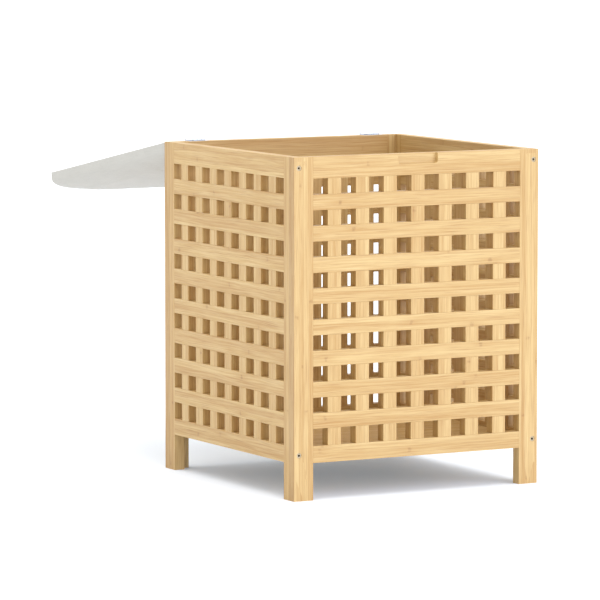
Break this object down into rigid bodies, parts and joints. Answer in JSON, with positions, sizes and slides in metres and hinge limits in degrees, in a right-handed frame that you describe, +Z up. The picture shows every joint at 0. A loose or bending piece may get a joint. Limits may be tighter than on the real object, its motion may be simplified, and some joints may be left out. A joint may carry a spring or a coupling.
{
  "type": "laundry hamper with lid",
  "caption": "Square bamboo lattice laundry hamper on four short legs, with a padded lid hinged along the back of its open top.",
  "frame": {"origin": "on the floor at the centre of the square footprint of the four legs", "axes": "+Z up; -Y towards the front, the side with the finger recess; +X to the right seen from the front; the open lid reaches back along +Y"},
  "size_m": [0.4, 0.7972, 0.4888],
  "materials": {
    "bamboo": "satin",
    "board_wood": "matte",
    "foam": "matte",
    "cover_fabric": "matte",
    "lining_fabric": "matte",
    "hinge_steel": "satin",
    "screw_steel": "satin",
    "staple_steel": "satin"
  },
  "bodies": {
    "frame": {"front_left_leg": "bamboo", "front_right_leg": "bamboo", "back_left_leg": "bamboo", "back_right_leg": "bamboo", "left_front_stile": "bamboo", "left_back_stile": "bamboo", "right_front_stile": "bamboo", "right_back_stile": "bamboo", "front_top_rail": "bamboo", "back_top_rail": "bamboo", "left_top_rail": "bamboo", "right_top_rail": "bamboo", "front_bottom_rail": "bamboo", "back_bottom_rail": "bamboo", "left_bottom_rail": "bamboo", "right_bottom_rail": "bamboo", "front_cross_slats": "bamboo", "back_cross_slats": "bamboo", "left_cross_slats": "bamboo", "right_cross_slats": "bamboo", "front_upright_slats": "bamboo", "back_upright_slats": "bamboo", "left_upright_slats": "bamboo", "right_upright_slats": "bamboo", "floor_board": "bamboo", "left_floor_cleat": "bamboo", "right_floor_cleat": "bamboo", "cleat_screws": "screw_steel", "front_assembly_screws": "screw_steel", "back_assembly_screws": "screw_steel", "left_hinge_frame_leaf": "hinge_steel", "left_hinge_pin": "hinge_steel", "right_hinge_frame_leaf": "hinge_steel", "right_hinge_pin": "hinge_steel", "hinge_frame_screws": "screw_steel"},
    "lid": {"left_hinge_lid_leaf": "hinge_steel", "right_hinge_lid_leaf": "hinge_steel", "hinge_lid_screws": "screw_steel", "lid_board": "board_wood", "lid_foam": "foam", "lid_cover": "cover_fabric", "lid_lining": "lining_fabric", "lid_staples": "staple_steel"}
  },
  "joints": [
    {"name": "lid_hinge", "type": "hinge", "parent": "frame", "child": "lid", "pos_m": [0, 0.2026, 0.4864], "axis": [1, 0, 0], "range_deg": [0, 190.52]}
  ]
}
